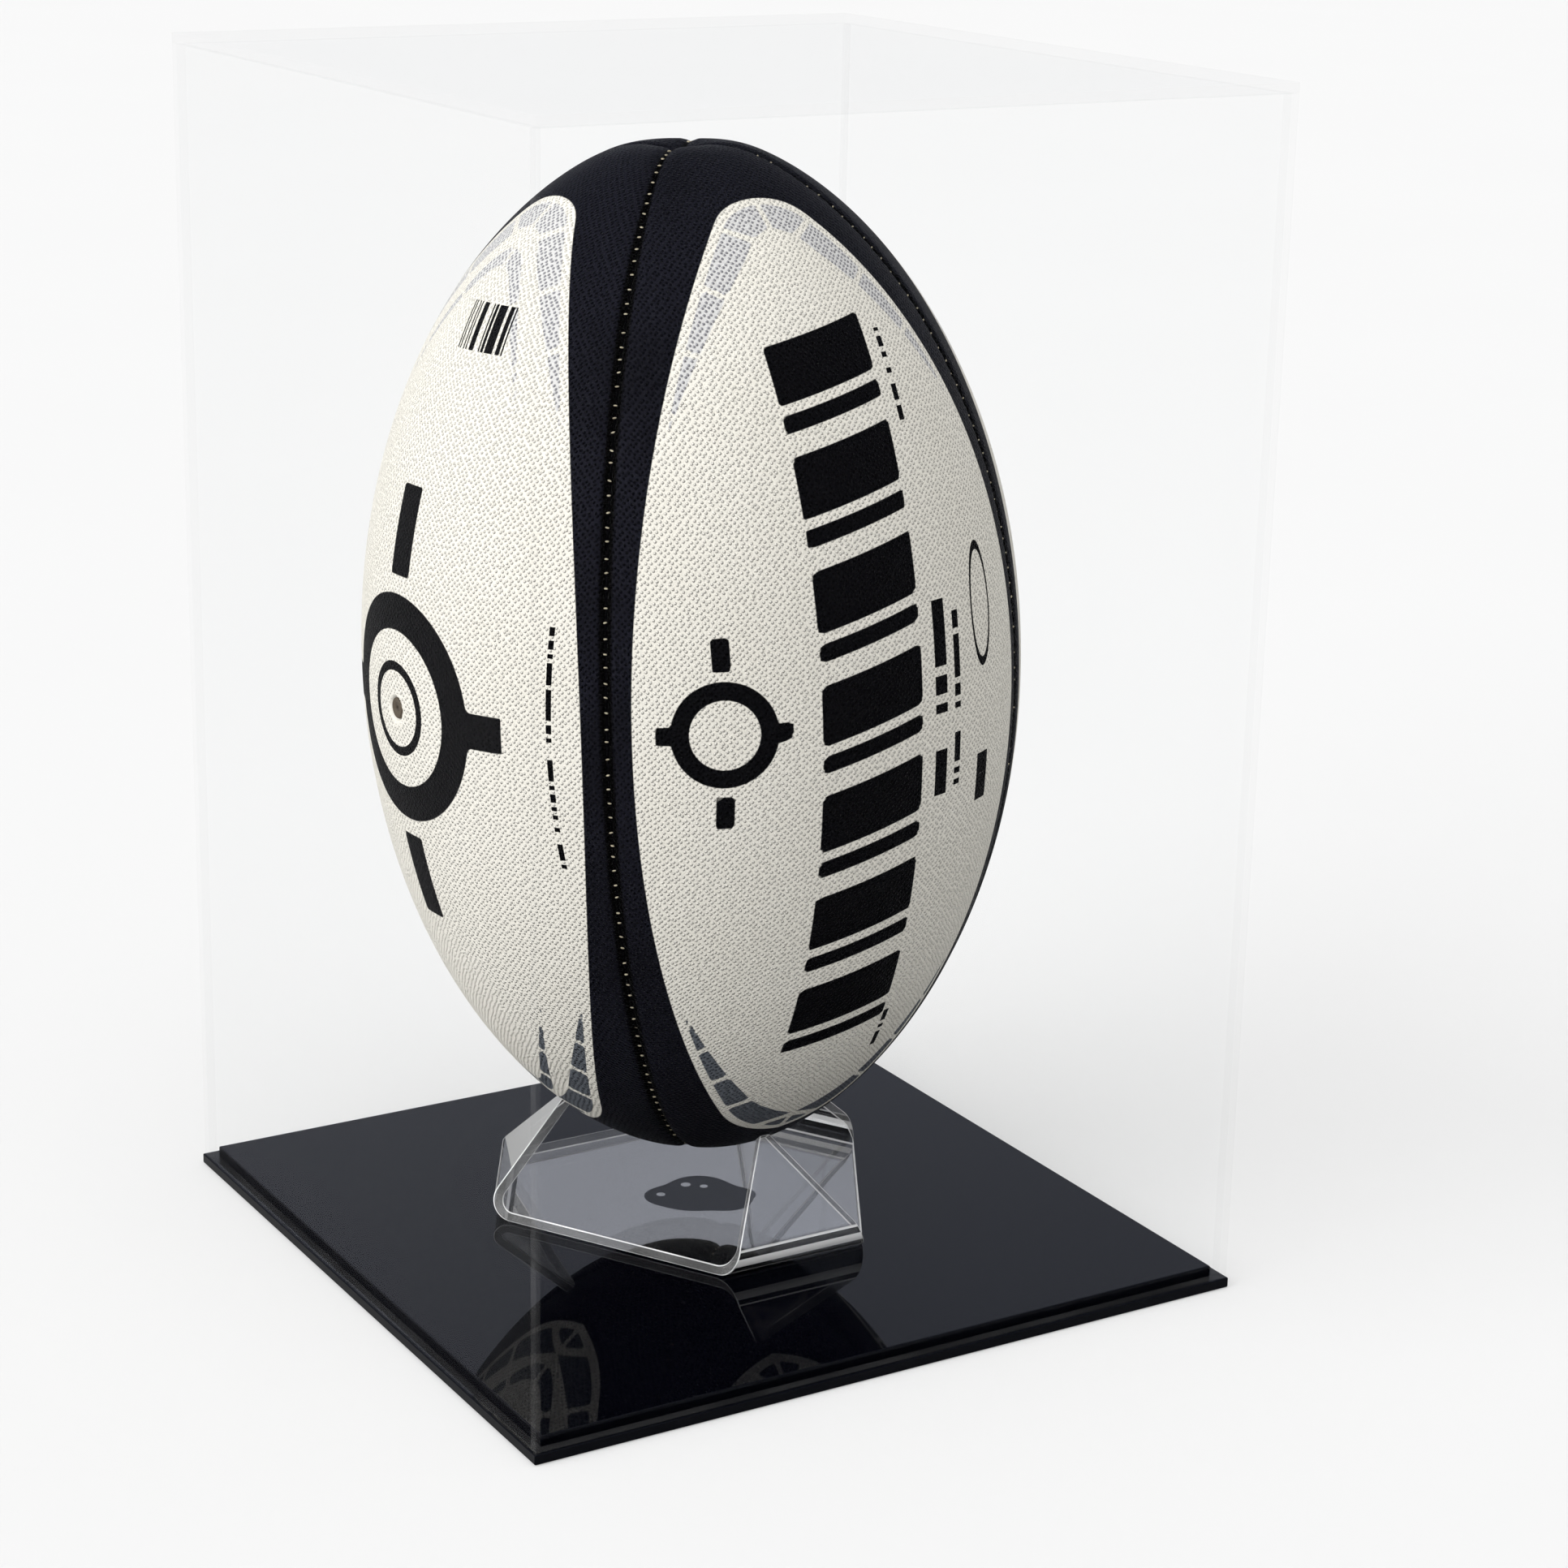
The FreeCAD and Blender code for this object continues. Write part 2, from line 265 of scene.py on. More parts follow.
def clear_edge(name, cover, colour, tint):
    """A cut and polished edge, painted pale as a painted glow where the light gathered in the sheet comes
    out.
    """
    nodes = Nodes(name)
    marks = nodes.bump(nodes.noise(900.0, detail=2.0), 0.00002, 0.4)
    streaks = nodes.ramp(nodes.noise(60.0, detail=1.0), 0.35, 0.65, 0.75, 1.25)
    glow = nodes.principled(Base_Color=colour, Roughness=0.06, Normal=marks)
    return nodes.finish(nodes.laid_over(nodes.maths("MULTIPLY", streaks, cover), tint, glow))


def stand_underside():
    """The stand's underside mirrors too, except where the glue wets it."""
    nodes = Nodes("stand_underside")
    speckle = nodes.ramp(nodes.noise(1400.0, detail=1.0), 0.3, 0.8, 0.0, 0.24)
    hidden = nodes.maths("MAXIMUM", wetness(nodes), speckle)
    return nodes.finish(nodes.clear(0.35, 2.4, 0.02, grey(1.0), (0.82, 0.80, 0.76, 1), hidden))


def stand_bend_painted_reflection():
    """The outside of a bend, painted with the black base and the white surroundings as reflected lines along
    it: a painted reflection.
    """
    nodes = Nodes("stand_bend_painted_reflection")
    bend = nodes.attribute("bend")
    white = 0.0
    for middle, half_width in PAINTED_BEND_REFLECTIONS:
        white = nodes.maths("ADD", nodes.maths("COMPARE", bend, middle, half_width), white)
    # painted reflection: pale lines of the white surroundings on the near-black of the mirrored base
    colour = nodes.mix(white, grey(0.004), grey(0.75))
    fade_in, fade_out = nodes.ramp(bend, 0.0, 0.10), nodes.ramp(bend, 0.86, 1.0, 0.85, 0.0)
    opaque = nodes.maths("MULTIPLY", fade_in, fade_out)
    gloss = nodes.principled(Base_Color=colour, Roughness=0.04, IOR=1.4)
    return nodes.finish(nodes.laid_over(opaque, grey(0.99), gloss))


def discs(nodes, patches, join):
    """Each patch's radius squared over the squared distance from its middle, joined one by one."""
    x, y, _ = nodes.fill(nodes.add("ShaderNodeSeparateXYZ"), Vector=nodes.position()).outputs
    total = 0.0
    for patch_x, patch_y, radius in patches:
        away_x = nodes.maths("SUBTRACT", x, STAND_MIDDLE.x + patch_x * MM)
        away_y = nodes.maths("SUBTRACT", y, STAND_MIDDLE.y + patch_y * MM)
        square = nodes.maths("MULTIPLY_ADD", away_y, away_y, nodes.maths("MULTIPLY", away_x, away_x))
        total = join(nodes.maths("DIVIDE", (radius * MM) ** 2, square), total)
    return total


def bubbles(nodes):
    """1 in the glue's bubbles."""
    field = discs(nodes, GLUE_BUBBLES, lambda share, total: nodes.maths("MAXIMUM", share, total))
    return nodes.ramp(field, 0.85, 1.15)


def wetness(nodes):
    """1 where the glue is and 0 in its bubbles, from the same field that its outline follows, glue_field."""
    patches = [(x, y, radius * GLUE_REACH) for x, y, radius in GLUE_PATCHES]
    field = discs(nodes, patches, lambda share, total: nodes.maths("MULTIPLY_ADD", share, share, total))
    solid = nodes.maths("SUBTRACT", 1.0, bubbles(nodes))
    return nodes.maths("MULTIPLY", nodes.ramp(field, 0.97, 1.03), solid)


def glue_film():
    """Glue pressed flat between the stand and the plate, dark because it joins the two without air."""
    nodes = Nodes("glue_film")
    streaks = nodes.ramp(nodes.noise(240.0), 0.3, 0.7)
    colour = nodes.mix(streaks, (0.002, 0.002, 0.004, 1), (0.004, 0.004, 0.007, 1))
    # painted highlight: the bubbles are painted pale where their air reflects the light
    colour = nodes.mix(bubbles(nodes), colour, (0.10, 0.105, 0.115, 1))
    return nodes.finish(nodes.principled(Base_Color=colour, Roughness=0.6, Specular_IOR_Level=0.0))


def strip(nodes, across, along, middle, half_width, low, high, step):
    """A row of small plain dashes on the skin, where a line of small print would be."""
    inside = nodes.maths("COMPARE", across, middle, half_width)
    length = nodes.maths("COMPARE", along, (low + high) / 2, (high - low) / 2)
    chosen = uneven(nodes, along, step, least=0.3)
    return nodes.maths("MULTIPLY", nodes.maths("MULTIPLY", inside, length), chosen)


def uneven(nodes, value, step, least):
    """1 in some steps of the value and 0 in the others, by a fixed random pattern."""
    noise = nodes.add("ShaderNodeTexWhiteNoise", noise_dimensions="1D")
    nodes.put(noise.inputs["W"], nodes.maths("FLOOR", nodes.maths("DIVIDE", value, step)))
    return nodes.maths("GREATER_THAN", noise.outputs["Value"], least)


def bars(nodes, across, along, middle, centre, half_width, half_length, step, lean):
    """Leaning bars of uneven width, a plain stand-in for a printed stock code."""
    turned = nodes.maths("ADD", nodes.maths("SUBTRACT", across, middle),
                         nodes.maths("MULTIPLY", nodes.maths("SUBTRACT", along, centre), lean))
    inside = nodes.maths("COMPARE", turned, 0.0, half_width)
    length = nodes.maths("COMPARE", along, centre, half_length)
    chosen = uneven(nodes, turned, step, least=0.47)
    return nodes.maths("MULTIPLY", nodes.maths("MULTIPLY", inside, length), chosen)


def outline_ring(nodes, across, along, middle, centre, radius_across, radius_along, thickness):
    """A thin oval line."""
    x = nodes.maths("DIVIDE", nodes.maths("SUBTRACT", across, middle), radius_across)
    y = nodes.maths("DIVIDE", nodes.maths("SUBTRACT", along, centre), radius_along)
    radius = nodes.maths("SQRT", nodes.maths("MULTIPLY_ADD", x, x, nodes.maths("MULTIPLY", y, y)))
    return nodes.maths("COMPARE", radius, 1.0, thickness / radius_across / 2)


def ball_skin(name, small_print):
    """Pimpled rubber skin: near-black with a cream window, grey borders and black marks.
    Its pimples and print follow the distances across and along the skin that the panels carry."""
    nodes = Nodes(name)
    across, along = nodes.attribute("across"), nodes.attribute("along")
    lattice = nodes.fill(nodes.add("ShaderNodeCombineXYZ"), X=across, Y=along)
    turned = nodes.add("ShaderNodeVectorRotate", rotation_type="Z_AXIS")
    nodes.fill(turned, Vector=lattice.outputs[0], Angle=math.radians(45))
    cells = nodes.add("ShaderNodeTexVoronoi", voronoi_dimensions="2D")
    nodes.fill(cells, Vector=turned.outputs[0], Scale=1.0 / PIMPLE_STEP, Randomness=0.38)
    pimple = nodes.ramp(cells.outputs["Distance"], 0.04, 0.40, 1.0, 0.0)
    pimple = nodes.maths("MULTIPLY", pimple, nodes.attribute("pimpled"))
    grain = nodes.noise(2200.0, detail=2.0)
    blotch = nodes.noise(38.0, detail=3.0)

    cream = nodes.mix(blotch, (0.79, 0.765, 0.70, 1), (0.85, 0.83, 0.775, 1))
    # painted shade: the cream is darker in the hollows between the pimples
    cream = nodes.mix(pimple, nodes.mix(0.36, cream, (0.44, 0.41, 0.34, 1)), cream)
    black = nodes.mix(pimple, (0.0068, 0.0071, 0.0112, 1), (0.0022, 0.0023, 0.0036, 1))
    black = nodes.mix(nodes.ramp(blotch, 0.35, 0.75, 0.0, 0.7), black, (0.0035, 0.0037, 0.0056, 1))
    lilac = nodes.mix(pimple, (0.53, 0.525, 0.52, 1), (0.28, 0.28, 0.315, 1))
    slate = nodes.mix(pimple, (0.095, 0.105, 0.120, 1), (0.055, 0.060, 0.072, 1))
    ink = nodes.mix(pimple, (0.0022, 0.0022, 0.0030, 1), (0.0008, 0.0008, 0.0010, 1))

    # painted shade: the skin turns darker still near the panel's edge, where it rolls into the seam's groove
    colour = nodes.mix(nodes.ramp(nodes.attribute("edge"), 1.2, 2.4), grey(0.0003), black)
    for area, paint in (("window", cream), ("band_top", lilac), ("band_low", slate), ("mark", ink)):
        colour = nodes.mix(nodes.ramp(nodes.attribute(area), -PRINT_BLUR, PRINT_BLUR), colour, paint)
    for printed in small_print:
        colour = nodes.mix(printed(nodes, across, along), colour, ink)

    relief = nodes.bump(nodes.maths("MULTIPLY_ADD", grain, 0.25, pimple), 0.00068)
    roughness = nodes.ramp(grain, 0.3, 0.7, 0.40, 0.55)
    return nodes.finish(nodes.principled(
        Base_Color=colour, Roughness=roughness, Specular_IOR_Level=0.02, Normal=relief))


def seam_bed():
    """The bottom of a seam, painted near-black and without gloss as painted shade in its groove."""
    nodes = Nodes("seam_bed")
    colour = nodes.mix(nodes.noise(900.0), (0.0006, 0.0006, 0.0008, 1), (0.0020, 0.0020, 0.0024, 1))
    return nodes.finish(nodes.principled(Base_Color=colour, Roughness=0.8, Specular_IOR_Level=0.0))


def stitch_thread():
    """Waxed cream thread with its twist."""
    nodes = Nodes("stitch_thread")
    wave = nodes.add("ShaderNodeTexWave", bands_direction="DIAGONAL")
    nodes.fill(wave, Vector=nodes.position(), Scale=1300.0, Distortion=1.5)
    twist = wave.outputs["Fac"]
    # painted shade: the thread is darker in the grooves of its twist
    colour = nodes.mix(twist, (0.28, 0.24, 0.15, 1), (0.62, 0.55, 0.40, 1))
    relief = nodes.bump(twist, 0.0001)
    return nodes.finish(nodes.principled(Base_Color=colour, Roughness=0.6, Normal=relief))


def rubber(name, dark, light):
    """Matt moulded rubber with a fine speckle."""
    nodes = Nodes(name)
    speckle = nodes.noise(1500.0, detail=3.0)
    colour = nodes.mix(speckle, dark, light)
    relief = nodes.bump(speckle, 0.00005, 0.4)
    return nodes.finish(nodes.principled(Base_Color=colour, Roughness=0.6, Normal=relief))


def studio_floor():
    """White floor, brightened only where it is seen directly, so as not to light the ball from below."""
    nodes = Nodes("studio_floor")
    seen = nodes.add("ShaderNodeLightPath").outputs["Is Camera Ray"]
    colour = nodes.mix(nodes.noise(3.0), grey(0.40), grey(0.41))
    glow = nodes.maths("MULTIPLY", seen, FLOOR_BRIGHTENING)
    return nodes.finish(nodes.principled(
        Base_Color=colour, Roughness=0.9, Specular_IOR_Level=0.0,
        Emission_Color=grey(1.0), Emission_Strength=glow))


# ---------------------------------------------------------------- mesh helpers
def new_piece(name, points, faces, body, replaced, materials):
    """A piece of the object that moves with a body, has a material slot and replaces CAD nodes."""
    mesh = bpy.data.meshes.new(name)
    mesh.from_pydata([tuple(point) for point in points], [], faces)
    for material in materials:
        mesh.materials.append(material)
    mesh.update()
    piece = bpy.data.objects.new(name, mesh)
    bpy.context.scene.collection.objects.link(piece)
    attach(piece, body)
    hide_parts(*replaced)
    return piece


def smooth(piece):
    for face in piece.data.polygons:
        face.use_smooth = True
    return piece


def add_modifier(piece, kind, **settings):
    modifier = piece.modifiers.new(kind.lower(), kind)
    for key, value in settings.items():
        setattr(modifier, key, value)
    return modifier


def round_edges(piece, width, material=-1):
    add_modifier(piece, "BEVEL", width=width * MM, segments=2, limit_method="ANGLE",
                 angle_limit=math.radians(40), harden_normals=True, material=material)
    return smooth(piece)


def set_floats(piece, **values):
    """One number for each point under each name, which the materials read."""
    for name, numbers in values.items():
        layer = piece.data.attributes.new(name, "FLOAT", "POINT")
        layer.data.foreach_set("value", np.asarray(numbers, np.float32).ravel())


def grid_faces(rows, columns):
    """Quads of a grid whose points are numbered row by row."""
    index = np.arange(rows * columns).reshape(rows, columns)
    corners = (index[:-1, :-1], index[1:, :-1], index[1:, 1:], index[:-1, 1:])
    return np.stack([corner.ravel() for corner in corners], axis=1).tolist()


def tube_faces(rings, sides, first=0, caps=True):
    """Quads of a tube whose points are numbered ring by ring from `first`, and the caps that close it."""
    faces = []
    for ring in range(rings - 1):
        here = first + ring * sides
        there = here + sides
        for side in range(sides):
            after = (side + 1) % sides
            faces.append((here + side, here + after, there + after, there + side))
    if caps:
        faces.append(tuple(range(first, first + sides))[::-1])
        faces.append(tuple(range(first + (rings - 1) * sides, first + rings * sides)))
    return faces


def mend_normals(piece, merge=False):
    """Face normals turned outwards, after points that lie in one place are merged if asked."""
    mesh = bmesh.new()
    mesh.from_mesh(piece.data)
    if merge:
        bmesh.ops.remove_doubles(mesh, verts=mesh.verts, dist=1e-6)
    bmesh.ops.recalc_face_normals(mesh, faces=mesh.faces)
    mesh.to_mesh(piece.data)
    mesh.free()


# ---------------------------------------------------------------- ball shape
spin = next(joint for joint in frame["joints"] if joint["name"] == "ball_spin")
BALL_FRAME = (Matrix.Translation(Vector(spin["pos_m"]))
              @ Vector((0, 0, 1)).rotation_difference(Vector(spin["axis"])).to_matrix().to_4x4()
              @ Matrix.Rotation(BALL_TURN, 4, "Z"))


def ball_profile(count=4001):
    """Radius, height and distance along the skin from the equator, from the top pole to the bottom one."""
    turn = np.linspace(0, math.pi, count)
    radius = BALL_ACROSS * np.abs(np.sin(turn)) ** (2 / BALL_ACROSS_POWER)
    level = BALL_ALONG * np.abs(np.cos(turn)) ** (2 / BALL_ALONG_POWER)
    level = -POLE_SOFTNESS * np.logaddexp(-level / POLE_SOFTNESS, -POLE_FLAT / POLE_SOFTNESS)
    level = level - POLE_DIMPLE * np.exp(-(radius / POLE_DIMPLE_WIDTH) ** 2)
    level = level * np.sign(math.pi / 2 - turn)
    steps = np.hypot(np.diff(radius), np.diff(level))
    along = np.concatenate([[0], np.cumsum(steps)])
    along = along[-1] / 2 - along
    return radius, level, along


PROFILE_RADIUS, PROFILE_LEVEL, PROFILE_ALONG = ball_profile()
POLE_ALONG = float(PROFILE_ALONG[0])


def along_at(level):
    """Distance along the skin from the equator, for a height in the ball's frame."""
    return float(np.interp(level, PROFILE_LEVEL[::-1], PROFILE_ALONG[::-1]))


def outline_at(along):
    """Radius and height, and the skin's outward normal in that plane, at distances along the skin."""
    def read(profile, place):
        return np.interp(place, PROFILE_ALONG[::-1], profile[::-1])

    near = 0.8
    radius_rise = read(PROFILE_RADIUS, along + near) - read(PROFILE_RADIUS, along - near)
    level_rise = read(PROFILE_LEVEL, along + near) - read(PROFILE_LEVEL, along - near)
    length = np.hypot(radius_rise, level_rise)
    return read(PROFILE_RADIUS, along), read(PROFILE_LEVEL, along), level_rise / length, -radius_rise / length


def skin_points(turn, along, depth):
    """Points at angles round the ball and distances along the skin, set in by a depth, in metres."""
    radius, level, normal_out, normal_up = outline_at(along)
    out = radius - depth * normal_out
    return np.stack([out * np.cos(turn), out * np.sin(turn), level - depth * normal_up], axis=-1) * MM


# ---------------------------------------------------------------- ball print
def box_distance(x, y, half_x, half_y):
    """How far inside a box a point is; negative outside."""
    inside_x, inside_y = half_x - np.abs(x), half_y - np.abs(y)
    outside = np.hypot(np.minimum(inside_x, 0), np.minimum(inside_y, 0))
    return np.where(outside > 0, -outside, np.minimum(inside_x, inside_y))


def window_distance(across, along, radius, level):
    """How far inside the panel's pale window a point is, on the skin, and the same with its corners eased."""
    margin = WINDOW_MARGIN + WINDOW_MARGIN_GROWTH * level ** 2
    half_width = radius * HALF_PANEL - margin
    slope = np.gradient(half_width[:, 0]) / np.gradient(along[:, 0])
    lean = np.hypot(1, slope)[:, None]
    side = (half_width - np.abs(across)) / lean
    other_side = side + 2 * np.abs(across) / lean
    top = along_at(WINDOW_TOP) - along
    bottom = along - along_at(WINDOW_BOTTOM)
    rounding = np.where(along > 0, WINDOW_TOP_ROUND, WINDOW_BOTTOM_ROUND)
    end = np.minimum(top, bottom)
    corner = np.maximum(rounding - np.abs(side - end), 0) ** 2 / (4 * rounding)
    window = np.minimum(side, end) - corner
    sides = np.logaddexp(-side / ARCH_ROUND, -other_side / ARCH_ROUND)
    eased = -ARCH_ROUND * np.logaddexp(sides, -end / ARCH_ROUND)
    return window, eased


def band_distance(window, eased, across, reach, tip, step, double):
    """Border segments that follow the window's edge, thin out away from its tip and are cut by pale ribs.
    A double border has an arch of thinner segments inside the first."""
    full_width_at, inner_share, inner_gap, rib_slant = 0.72, 0.8, 2.0, 0.55
    start = along_at(BAND_START)
    width = BAND_WIDTH * np.clip((reach - start) / (full_width_at * (tip - start)), 0, 1)
    middle = BAND_RIM + width / 2
    band = width / 2 - np.abs(window - middle)
    if double:
        inner = np.clip((reach - start) / (tip - start), 0, 1) * inner_share * BAND_WIDTH
        inner_middle = 2 * BAND_RIM + BAND_WIDTH + inner_gap + inner / 2
        band = np.maximum(band, inner / 2 - np.abs(eased - inner_middle))
    slanted = reach + rib_slant * window
    rib = np.abs((slanted - tip) % step - step / 2) - BAND_RIB
    return np.minimum(np.minimum(band, rib), np.abs(across) - BAND_RIB)


def roundel(across, along, radius, thickness, reach):
    """A ring with a tick above, below and to each side of it."""
    ring = thickness / 2 - np.abs(np.hypot(across, along) - radius)
    half_tick = (reach - radius - thickness) / 2
    tick = radius + thickness + half_tick
    upright = box_distance(across, np.abs(along) - tick, thickness / 2, half_tick)
    level = box_distance(np.abs(across) - 0.75 * tick, along, half_tick / 2, thickness / 2)
    return np.maximum(ring, np.maximum(upright, level))


def front_marks(across, along):
    """A column of slanted bars, thick and thin in turn, and a small ring with its ticks."""
    low, high = along_at(BAR_LOWEST), along_at(BAR_HIGHEST)
    step = (high - low) / BAR_COUNT
    marks = roundel(
        across - SMALL_RING_ACROSS, along - SMALL_RING_ALONG, radius=12.0, thickness=5.0, reach=26.0)
    for index in range(BAR_COUNT):
        centre = low + (index + 0.5) * step
        slanted = along - centre - BAR_SLANT * across
        for rise, half_height in (THICK_BAR, THIN_BAR):
            marks = np.maximum(marks, box_distance(across, slanted - rise, BAR_HALF_WIDTH, half_height))
    return marks


def side_marks(across, along):
    """A large ring with its ticks round the panel's middle, where one side has the valve."""
    return roundel(across, along, radius=27.0, thickness=10.0, reach=62.0)


# ---------------------------------------------------------------- ball pieces
def grid_lines(count, half, fine=None):
    """Values from -half to half, at closer steps within a reach of the middle if `fine` gives both."""
    lines = np.linspace(-half, half, count)
    if fine:
        reach, step = fine
        closer = np.arange(-reach, reach + step / 2, step)
        lines = np.sort(np.concatenate([lines[np.abs(lines) > reach + step], closer]))
    return lines


def ball_panel(side, material):
    """A quarter of the skin, its long edges rolled down into the seams."""
    has_valve = side == "left"
    columns = grid_lines(PANEL_COLUMNS, 1.0, FINE_COLUMNS if has_valve else None)
    rows = grid_lines(PANEL_ROWS, POLE_ALONG - PANEL_END, FINE_ROWS if has_valve else None)
    along, share = np.meshgrid(rows, np.sin(columns * math.pi / 2), indexing="ij")
    radius, level, _, _ = outline_at(along)
    across = radius * HALF_PANEL * share
    edge = radius * HALF_PANEL * (1 - np.abs(share))
    roll = 1 - np.clip(edge / SEAM_SOFTNESS, 0, 1)
    depth = SEAM_DEPTH * (1 - np.sqrt(1 - roll ** 2))
    depth = depth + SEAM_PUCKER * roll * (1 - roll) * (1 + np.cos(2 * math.pi * along / STITCH_STEP))
    bulge = PANEL_BULGE * np.clip(radius / BULGE_RADIUS, 0, 1)
    depth = depth - bulge * (2 * np.cos(share * math.pi / 2) - 1)
    pimpled = np.ones(along.shape)
    if has_valve:
        from_valve = np.hypot(across, along)
        hole = np.clip((VALVE_HOLE - from_valve) / VALVE_HOLE_SLOPE, 0, 1)
        depth = depth + VALVE_HOLE_DEPTH * hole * hole * (3 - 2 * hole)
        pimpled = np.clip(from_valve - SMOOTH_ROUND_VALVE, 0, 1)
    turn = math.radians(PANEL_MIDDLES[side]) + HALF_PANEL * share
    points = skin_points(turn, along, depth).reshape(-1, 3)
    piece = new_piece(f"skin_panel_{side}", points, grid_faces(*along.shape), "ball",
                      [f"ball_panel_{side}"], [material])
    piece.data.flip_normals()
    window, eased = window_distance(across, along, radius, level)
    double = side in ("left", "right")
    high, low = along_at(WINDOW_TOP), along_at(WINDOW_BOTTOM)
    narrowing = np.clip(radius / SEAM_SHADE_RADIUS, SEAM_SHADE_LEAST, 1)
    set_floats(
        piece, across=across, along=along, edge=edge / narrowing, window=window, pimpled=pimpled,
        mark=side_marks(across, along) if double else front_marks(across, along),
        band_top=band_distance(window, eased, across, along, high, TOP_BAND_STEP, double),
        band_low=band_distance(window, eased, across, -along, -low, BOTTOM_BAND_STEP, double))
    add_modifier(piece, "SOLIDIFY", thickness=SKIN_THICKNESS * MM, offset=-1.0)
    return place_on_ball(piece)


def place_on_ball(piece):
    piece.matrix_world = BALL_FRAME
    return smooth(piece)


def ball_seam(side, materials):
    """The dark bed of a seam with a row of short stitches lying across it."""
    turn = math.radians(SEAMS[side])
    end = POLE_ALONG - SEAM_END
    rows = np.linspace(-end, end, SEAM_ROWS)
    bottom, rim, crown = SEAM_DEPTH + 0.9, SEAM_DEPTH - 0.1, SEAM_DEPTH - 0.5
    section = ((-SEAM_HALF_WIDTH, bottom), (-SEAM_HALF_WIDTH, rim), (0.0, crown),
               (SEAM_HALF_WIDTH, rim), (SEAM_HALF_WIDTH, bottom))
    radius = np.maximum(outline_at(rows)[0], SEAM_HALF_WIDTH)
    lines = [skin_points(turn + offset / radius, rows, depth) for offset, depth in section]
    points = list(np.stack(lines, axis=1).reshape(-1, 3))
    faces = tube_faces(len(rows), len(section))
    bed_faces = len(faces)
    rng = np.random.default_rng(int(SEAMS[side]))
    for along in np.arange(-POLE_ALONG + FIRST_STITCH, POLE_ALONG - LAST_STITCH, STITCH_STEP):
        wander = rng.uniform(-0.7, 0.7)
        lean = rng.uniform(-0.3, 0.3)
        sunk = rng.uniform(-0.1, 0.45)
        towards_bottom = min(max((-along - 40) / 50, 0), 1)
        depth = STITCH_DEPTH + sunk + 0.5 * towards_bottom
        add_stitch(points, faces, turn, along + wander, lean, depth)
    piece = new_piece(f"seam_{side}", points, faces, "ball",
                      [f"seam_thread_{side}"], materials)
    for face in piece.data.polygons[bed_faces:]:
        face.material_index = 1
    mend_normals(piece)
    return place_on_ball(piece)


def add_stitch(points, faces, turn, along, lean, depth):
    """A bead of thread across the seam, thickest in its middle."""
    rings, sides, taper = 5, 8, 0.92
    radius = float(outline_at(along)[0])
    first = len(points)
    for share in np.linspace(-1, 1, rings):
        reach = STITCH_HALF_LENGTH * share
        swell = STITCH_THICKNESS * math.sqrt(1 - (taper * share) ** 2)
        for angle in np.linspace(0, 2 * math.pi, sides, endpoint=False):
            place = along + lean * reach + swell * math.cos(angle)
            points.append(skin_points(turn + reach / radius, place, depth - swell * math.sin(angle)))
    faces += tube_faces(rings, sides, first)


def ball_valve(material):
    """The valve's rubber plug, domed at its rim, with the needle hole in its middle."""
    outer, hole, hole_depth, length, recess, rounding = 2.95, 0.75, 5.0, 12.0, 0.15, 0.5
    sides = 40
    profile = [(0.0, hole_depth), (hole, hole_depth - 0.6), (hole, 0.45), (hole + 0.35, 0.2)]
    for turn in np.linspace(0, math.pi / 2, 6):
        profile.append((outer - rounding + rounding * math.sin(turn), rounding - rounding * math.cos(turn)))
    profile += [(outer, length - 0.5), (outer - 0.5, length), (0.0, length)]
    front = recess - PANEL_BULGE - outline_at(0.0)[0]
    points = []
    for radius, depth in profile:
        for turn in np.linspace(0, 2 * math.pi, sides, endpoint=False):
            points.append(((front + depth) * MM, radius * math.cos(turn) * MM, radius * math.sin(turn) * MM))
    faces = tube_faces(len(profile), sides, caps=False)
    piece = new_piece("valve", points, faces, "ball", ["ball_valve"], [material])
    mend_normals(piece, merge=True)
    return place_on_ball(piece)


def ball_bladder(material):
    """The bladder, set in far enough to stay below the seams and the dimples at the ball's ends."""
    end = POLE_ALONG - BLADDER_END
    rows = np.linspace(-end, end, BLADDER_ROWS)
    turns = np.linspace(0, 2 * math.pi, BLADDER_SIDES, endpoint=False)
    along, turn = np.meshgrid(rows, turns, indexing="ij")
    points = skin_points(turn, along, BLADDER_DEPTH).reshape(-1, 3)
    faces = tube_faces(BLADDER_ROWS, BLADDER_SIDES)
    piece = new_piece("bladder", points, faces, "ball", ["ball_bladder"], [material])
    mend_normals(piece)
    return place_on_ball(piece)


# ---------------------------------------------------------------- stand and glue
plate_low, plate_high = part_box("base_plate_raised")
glue_low, glue_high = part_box("stand_adhesive")
SHEET_THICKNESS = (plate_high.z - plate_low.z) / MM
BEND_OUTER = BEND_INNER + SHEET_THICKNESS
BEND_MIDDLE = BEND_INNER + SHEET_THICKNESS / 2
BEND_LENGTH = BEND_MIDDLE * BEND_TURN


def stand_middle():
    """The stand's centre on the plate, found from the flap towards -Y, whose bend reaches the furthest."""
    low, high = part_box("ball_stand")
    return Vector(((low.x + high.x) / 2, low.y + (FOLD_DISTANCE + BEND_OUTER) * MM, low.z))


STAND_MIDDLE = stand_middle()


